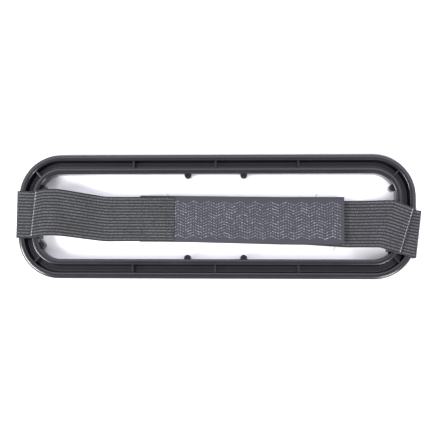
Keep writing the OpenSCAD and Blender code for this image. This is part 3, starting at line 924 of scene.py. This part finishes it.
def stitched(name, lines, body):
    """Stitches along straight lines, each a pair of points in millimetres."""
    points = [p for line in lines for p in line]
    edges = [(i, i + 1) for i in range(0, len(points), 2)]
    made = grow(name, stitch_tree, guide_mesh(name, points, edges), {
        "Pitch": STITCH_PITCH * MM, "Length": STITCH_LENGTH * MM, "Thread": THREAD * MM,
        "Wander": math.radians(5), "Finish": bonded_thread})
    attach(made, body)
    return made


def raised(rows, z):
    """Rows of a box stitch at a height."""
    return [(at_height(start, z), at_height(end, z)) for start, end in rows]


stitch_z = band_low.z + ELASTIC - STITCH_DIP + SUNK
left_stitches = stitched("hook_tape_box_stitch", raised(left_rows, stitch_z), "left_strap")
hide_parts("hook_tape_stitching")


def thread_end(name, points, body, thickness):
    """A loose end of thread along a few points."""
    curve = bpy.data.curves.new(name, "CURVE")
    curve.dimensions = "3D"
    curve.bevel_depth = thickness / 2 * MM
    curve.bevel_resolution = 2
    curve.use_fill_caps = True
    curve.resolution_u = 4
    spline = curve.splines.new("BEZIER")
    spline.bezier_points.add(len(points) - 1)
    for knot, point in zip(spline.bezier_points, points):
        knot.co = Vector(point) * MM
        knot.handle_left_type = knot.handle_right_type = "AUTO"
    source = link(name, curve)
    mesh = bpy.data.meshes.new_from_object(source.evaluated_get(bpy.context.evaluated_depsgraph_get()))
    bpy.data.objects.remove(source)
    made = link(name, mesh)
    mesh.materials.clear()
    mesh.materials.append(bonded_thread)
    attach(made, body)


LOOSE_THREAD = 0.35
splice_top = band_low.z + ELASTIC
thread_end("splice_thread_end_low", [
    (band_high.x + 0.3, tape_mid_y - 8.2, splice_top),
    (band_high.x - 1.2, tape_mid_y - 10.7, splice_top + 0.35),
    (band_high.x - 1.6, tape_mid_y - 13.7, splice_top + 0.2),
    (band_high.x - 0.6, tape_mid_y - 15.4, splice_top)],
    "left_strap", thickness=LOOSE_THREAD)
thread_end("splice_thread_end_high", [
    (splice_mid + BOX_LENGTH / 2, tape_mid_y + BOX_HEIGHT / 2 + 0.8, splice_top - 0.2),
    (splice_mid + BOX_LENGTH / 2 + 0.4, tape_mid_y + BOX_HEIGHT / 2 + 2.2, splice_top + 0.2),
    (splice_mid + BOX_LENGTH / 2 + 0.1, tape_high.y + 2.4, tape_high.z + 0.4)],
    "left_strap", thickness=LOOSE_THREAD)

# Right end loop. The same elastic round the other end bar, pulled askew, so that its walls
# and its fold lean against each other.
grey_elastic = elastic_finish("right_knitted_elastic", "#3b3b3e", "#121214")
right_loop = end_loop("right_end_loop", "right_strap_fold",
                      inner=[(138.1, -28.4), (143.2, 7.4)],
                      outer=[(161.2, -33.7), (165.9, 4.3)], finish=grey_elastic)

# Right elastic. From the slanted fold it crosses the end bar, creases where it drops over the
# bar's edge, runs down into the window and lies under the loop tape, sewn to it.
# The right fold takes the same paler elastic, a painted highlight along its bend.
right_nose = nose("right_fold", "right_strap_fold", fold_highlight_elastic)
loop_low, loop_high = (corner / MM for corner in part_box("loop_tape"))
right_low, right_high = (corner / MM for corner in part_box("right_elastic"))
loop_mid_y = (loop_low.y + loop_high.y) / 2
right_fold_ends, right_inwards = fold_line("right_strap_fold")
low_z, high_z = loop_low.z - ELASTIC / 2, right_high.z - ELASTIC / 2
RIGHT_Y = -5.7
half = STRAP_WIDTH / 2
sewn_end = [(right_low.x, -22.8), (right_low.x, 13.4)]
foot = [(106, RIGHT_Y - half), (113, RIGHT_Y + half)]
crease = [(131.5, -25.2), (143.8, 12.6)]
right_edges = []
for end, sewn, foot_end, crease_end in zip(right_fold_ends, sewn_end, foot, crease):
    start = at_height(sewn, low_z)
    foot_point, crease_point = at_height(foot_end, low_z), at_height(crease_end, high_z)
    top_point = at_height(end + right_inwards * NOSE_INSET, high_z)
    edge = [start.lerp(foot_point, k / 34) for k in range(34)]
    for k in range(29):
        point = foot_point.lerp(crease_point, k / 28)
        point.z = low_z + (high_z - low_z) * ease(k / 28)
        edge.append(point)
    edge += [crease_point.lerp(top_point, k / 12) for k in range(1, 13)]
    right_edges.append(edge)
right_splice_x = right_low.x + (loop_high.x - right_low.x) / 2
right_band = ribbon("right_elastic_cloth", right_edges[0], right_edges[1], ribs_across, grey_elastic)
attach(right_band, "right_strap")
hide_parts("right_elastic")

# Loop tape. Woven nylon again, with a brushed pile of fine loops on its upper side for the
# hooks to catch. It lies on the right elastic, under the hook tape.
PILE_PITCH = 1.5
PILE_SPREAD = 0.6
PILE_LOOP_RADIUS = 0.7
PILE_THICKNESS = 0.16
pile_ground = woven_finish("woven_pile_ground", "#2e2e33", "#17171a", 0.45)
loop_cloth_z = loop_low.z + TAPE_CLOTH / 2


def loop_drift(x):
    """How far the loop tape lies to the high side of its place, at its free end and at its sewn end."""
    return 1.8 - 2.2 * ease((x - loop_low.x) / 110)


loop_cloth = tape("loop_tape_cloth", (loop_low, loop_high), loop_cloth_z, pile_ground, loop_drift)
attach(loop_cloth, "right_strap")
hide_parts("loop_tape")
loop_size = loop_high - loop_low

# Brushed nylon loops: matt, with a soft sheen where many loops stand on edge.
pile_yarn = material("brushed_nylon_pile", {
    "Base Color": linear("#2b2b30"), "Roughness": 0.8, "IOR": 1.53, "Sheen Weight": 0.3})[0]
pile_tree, given = new_tree("brushed_pile", {
    "Radius": "Float", "Thickness": "Float", "Finish": "Material"})
pile_arc = add(pile_tree, "GeometryNodeCurveArc", None, {
    "Resolution": 6, "Radius": given["Radius"], "Start Angle": 0.0, "Sweep Angle": math.pi})
pile_radius = add(pile_tree, "ShaderNodeMath", {"operation": "MULTIPLY"}, {0: given["Thickness"], 1: 0.5})
pile_round = add(pile_tree, "GeometryNodeCurvePrimitiveCircle", None, {
    "Resolution": 3, "Radius": pile_radius.outputs[0]})
pile_body = add(pile_tree, "GeometryNodeCurveToMesh", None, {
    "Curve": pile_arc.outputs[0], "Profile Curve": pile_round.outputs[0], "Fill Caps": True})
pile_turn = add(pile_tree, "FunctionNodeRandomValue", {"data_type": "FLOAT_VECTOR"}, {
    "Min": (math.pi / 2 - 0.6, 0, 0), "Max": (math.pi / 2 + 0.6, 0, 2 * math.pi), "Seed": 4})
pile_scale = add(pile_tree, "FunctionNodeRandomValue", {"data_type": "FLOAT"}, {
    "Min": 0.65, "Max": 1.0, "Seed": 6})
pile_copies = add(pile_tree, "GeometryNodeInstanceOnPoints", None, {
    "Points": given["Geometry"], "Instance": pile_body.outputs[0], "Rotation": pile_turn.outputs["Value"],
    "Scale": pile_scale.outputs["Value"]})
close_tree(pile_tree, pile_copies.outputs[0], given["Finish"])
pile_points = []
for column in range(int((loop_size.x - 1) / PILE_PITCH)):
    for row in range(int((loop_size.y - TAPE_SELVAGE) / PILE_PITCH)):
        x = loop_low.x + (column + 0.7) * PILE_PITCH + chance.uniform(-PILE_SPREAD, PILE_SPREAD)
        y = loop_low.y + TAPE_SELVAGE / 2 + (row + 0.6) * PILE_PITCH
        y += chance.uniform(-PILE_SPREAD, PILE_SPREAD)
        pile_points.append((x, y + loop_drift(x), loop_low.z + TAPE_CLOTH - SUNK))
pile = grow("loop_tape_pile", pile_tree, guide_mesh("pile", pile_points), {
    "Radius": PILE_LOOP_RADIUS * MM, "Thickness": PILE_THICKNESS * MM, "Finish": pile_yarn})
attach(pile, "right_strap")

# Splice of the right elastic. The same box stitch, seen from below, with two thread ends that
# stick out beside the strap.
SEEN_THREAD = 0.4
right_rows = box_rows((right_splice_x, loop_mid_y))
right_stitches = stitched("loop_tape_box_stitch", raised(right_rows, right_low.z + 0.1), "right_strap")
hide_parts("loop_tape_stitching")
thread_end("loop_tape_thread_end_high", [
    (82.3, loop_high.y - 1.5, loop_low.z + 0.4), (82.1, loop_high.y + 1.5, loop_low.z + 0.6),
    (82.5, loop_high.y + 3.4, loop_low.z + 0.3)], "right_strap", thickness=SEEN_THREAD)
thread_end("loop_tape_thread_end_low", [
    (97.6, -19, right_low.z - 0.1), (97.2, -24.7, right_low.z + 0.2), (96, -27.2, right_low.z + 0.3)],
    "right_strap", thickness=SEEN_THREAD)

# Seams of the end loops. Two short rows of lockstitch across each loop's lap hold it closed;
# the strap folded over them hides them.
SEAM_ENDS = (0.06, 0.94)
SEAM_ROWS = {"left": (1.2, 2.8), "right": (2.7, 6.3)}
for end, joint in (("left", "left_strap_fold"), ("right", "right_strap_fold")):
    fold, inwards = fold_line(joint)
    seam_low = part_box(end + "_loop_seam")[0] / MM
    lines = []
    for reach in SEAM_ROWS[end]:
        pair = [at_height(point + inwards * reach, seam_low.z) for point in fold]
        lines.append(tuple(pair[0].lerp(pair[1], share_of_row) for share_of_row in SEAM_ENDS))
    seam = stitched(end + "_loop_lockstitch", lines, "frame")
    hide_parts(end + "_loop_seam")
